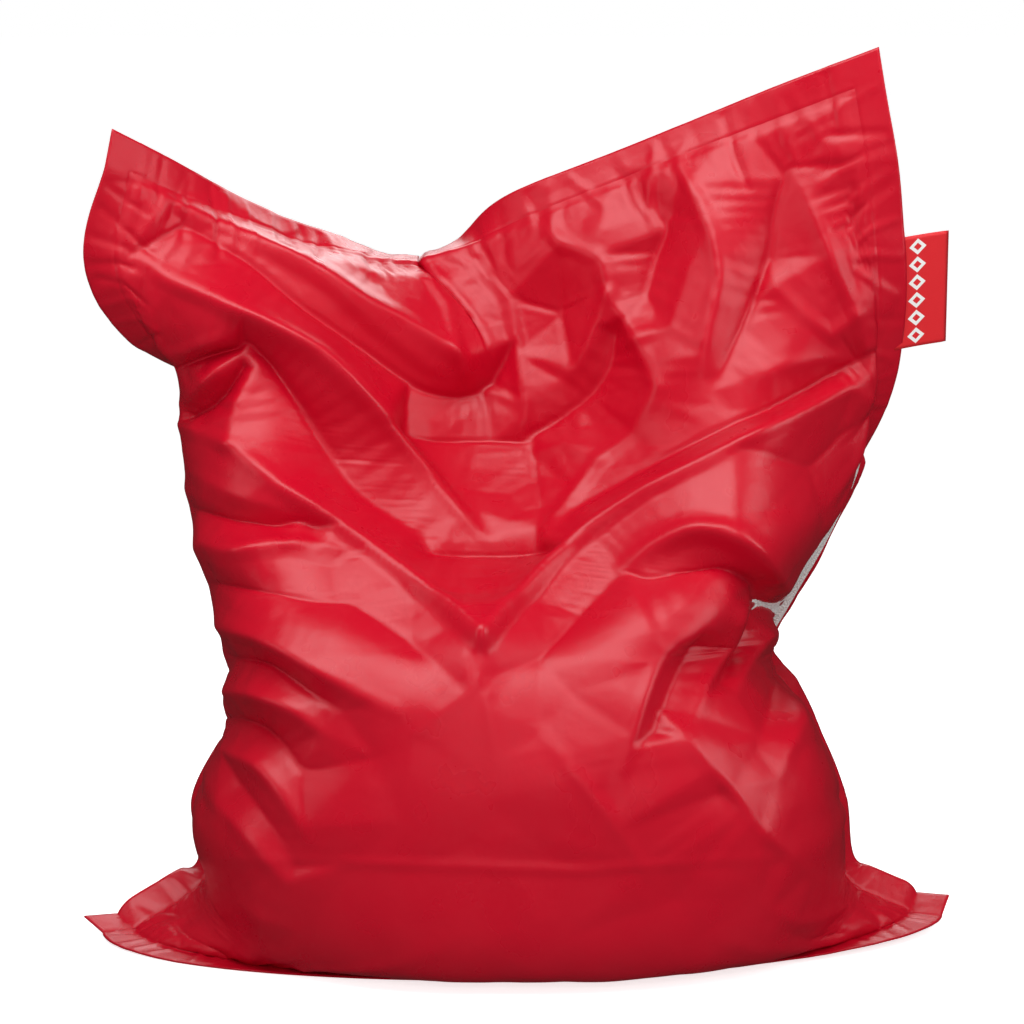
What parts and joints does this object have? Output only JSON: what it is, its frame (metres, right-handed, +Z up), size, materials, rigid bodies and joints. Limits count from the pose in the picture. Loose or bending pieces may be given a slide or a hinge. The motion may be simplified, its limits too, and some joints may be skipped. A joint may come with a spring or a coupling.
{
  "type": "bean bag chair",
  "caption": "Large rectangular bean bag in coated nylon, posed upright as a low chair with a seat hollow, two raised corners, a stitched flange, a side label and a zipped closure.",
  "frame": {"origin": "on the floor, under the middle of the bag's bounding box", "axes": "+Z up, the sitter faces -Y, +X is the width, towards the side with the label"},
  "size_m": [1.3032, 0.7554, 1.3263],
  "materials": {
    "nylon": "glossy coated woven nylon, red",
    "beads": "loose white foam beads",
    "thread": "red polyester sewing thread",
    "label_red": "woven ribbon, bright red with a plain white motif",
    "zip_tape": "red woven zip tape",
    "zip_coil": "red nylon coil",
    "zip_metal": "nickel-plated zip metal",
    "loop": "fuzzy red loop tape",
    "hook": "red hook tape",
    "label_white": "plain white satin care label"
  },
  "bodies": {
    "bag": {"front_panel": "nylon", "back_panel": "nylon", "bead_fill": "beads", "edge_stitching": "thread", "seam_stitching": "thread", "side_label": "label_red", "zip_upper_tape": "zip_tape", "zip_lower_tape": "zip_tape", "zip_upper_coil": "zip_coil", "zip_lower_coil": "zip_coil", "zip_left_stop": "zip_metal", "zip_right_stop": "zip_metal", "zip_stitching": "thread", "loop_strip": "loop", "flap_hem": "nylon", "care_label": "label_white"},
    "slider": {"zip_slider": "zip_metal"},
    "flap": {"closure_flap": "nylon", "hook_strip": "hook"}
  },
  "joints": [
    {"name": "zip_slide", "type": "slide", "parent": "bag", "child": "slider", "axis": [1, 0, 0], "range_m": [0, 0.488]},
    {"name": "flap_hinge", "type": "hinge", "parent": "bag", "child": "flap", "pos_m": [0, 0.37085, 0.333], "axis": [1, 0, 0], "range_deg": [0, 120]}
  ]
}
